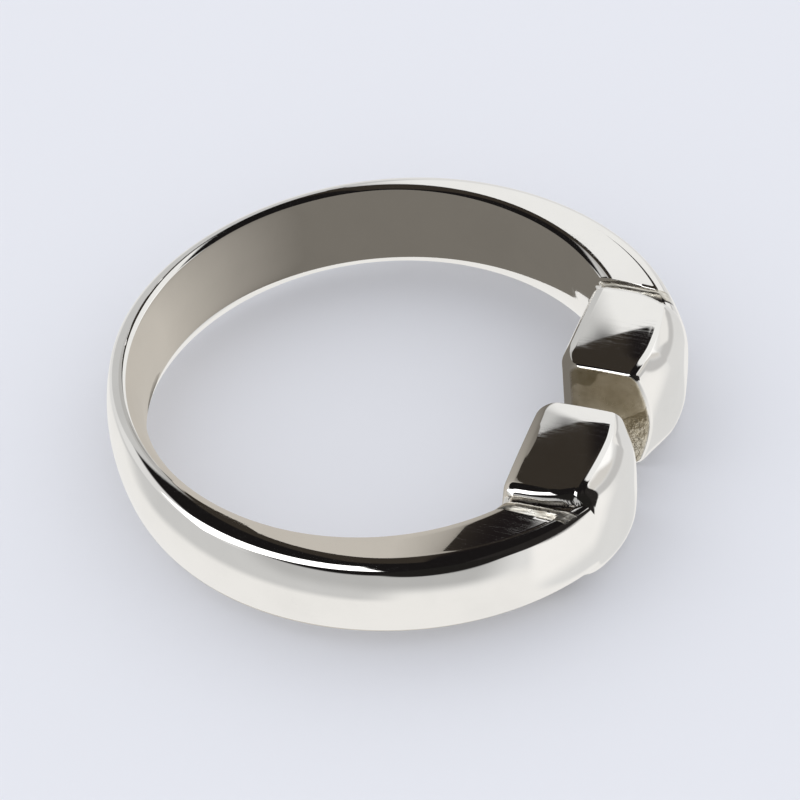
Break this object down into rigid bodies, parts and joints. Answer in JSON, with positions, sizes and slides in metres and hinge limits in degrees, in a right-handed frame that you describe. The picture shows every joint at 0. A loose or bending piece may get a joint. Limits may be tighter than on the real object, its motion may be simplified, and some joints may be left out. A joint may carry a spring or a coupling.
{
  "type": "open finger ring",
  "caption": "Polished silver open finger ring: a tapered C-shaped shank with a squared, raised terminal soldered to each end and a slot between them.",
  "frame": {"origin": "on the plane the ring lies on, under the middle of its footprint", "axes": "+Z along the finger axis, -Y out through the slot between the terminals, +X to the right terminal's side"},
  "size_m": [0.0226, 0.0214, 0.0048],
  "materials": {
    "shank_silver": "mirror-polished sterling silver with fine wear scratches",
    "right_terminal_silver": "mirror-polished sterling silver; the slot face is left as cast",
    "left_terminal_silver": "mirror-polished sterling silver; the slot face is left as cast",
    "right_solder": "silver solder, polished on the crest and darker in the groove",
    "left_solder": "silver solder, polished on the crest and darker in the groove"
  },
  "bodies": {
    "root": {"shank": "shank_silver", "right_terminal": "right_terminal_silver", "left_terminal": "left_terminal_silver", "right_solder_seam": "right_solder", "left_solder_seam": "left_solder"}
  },
  "joints": []
}
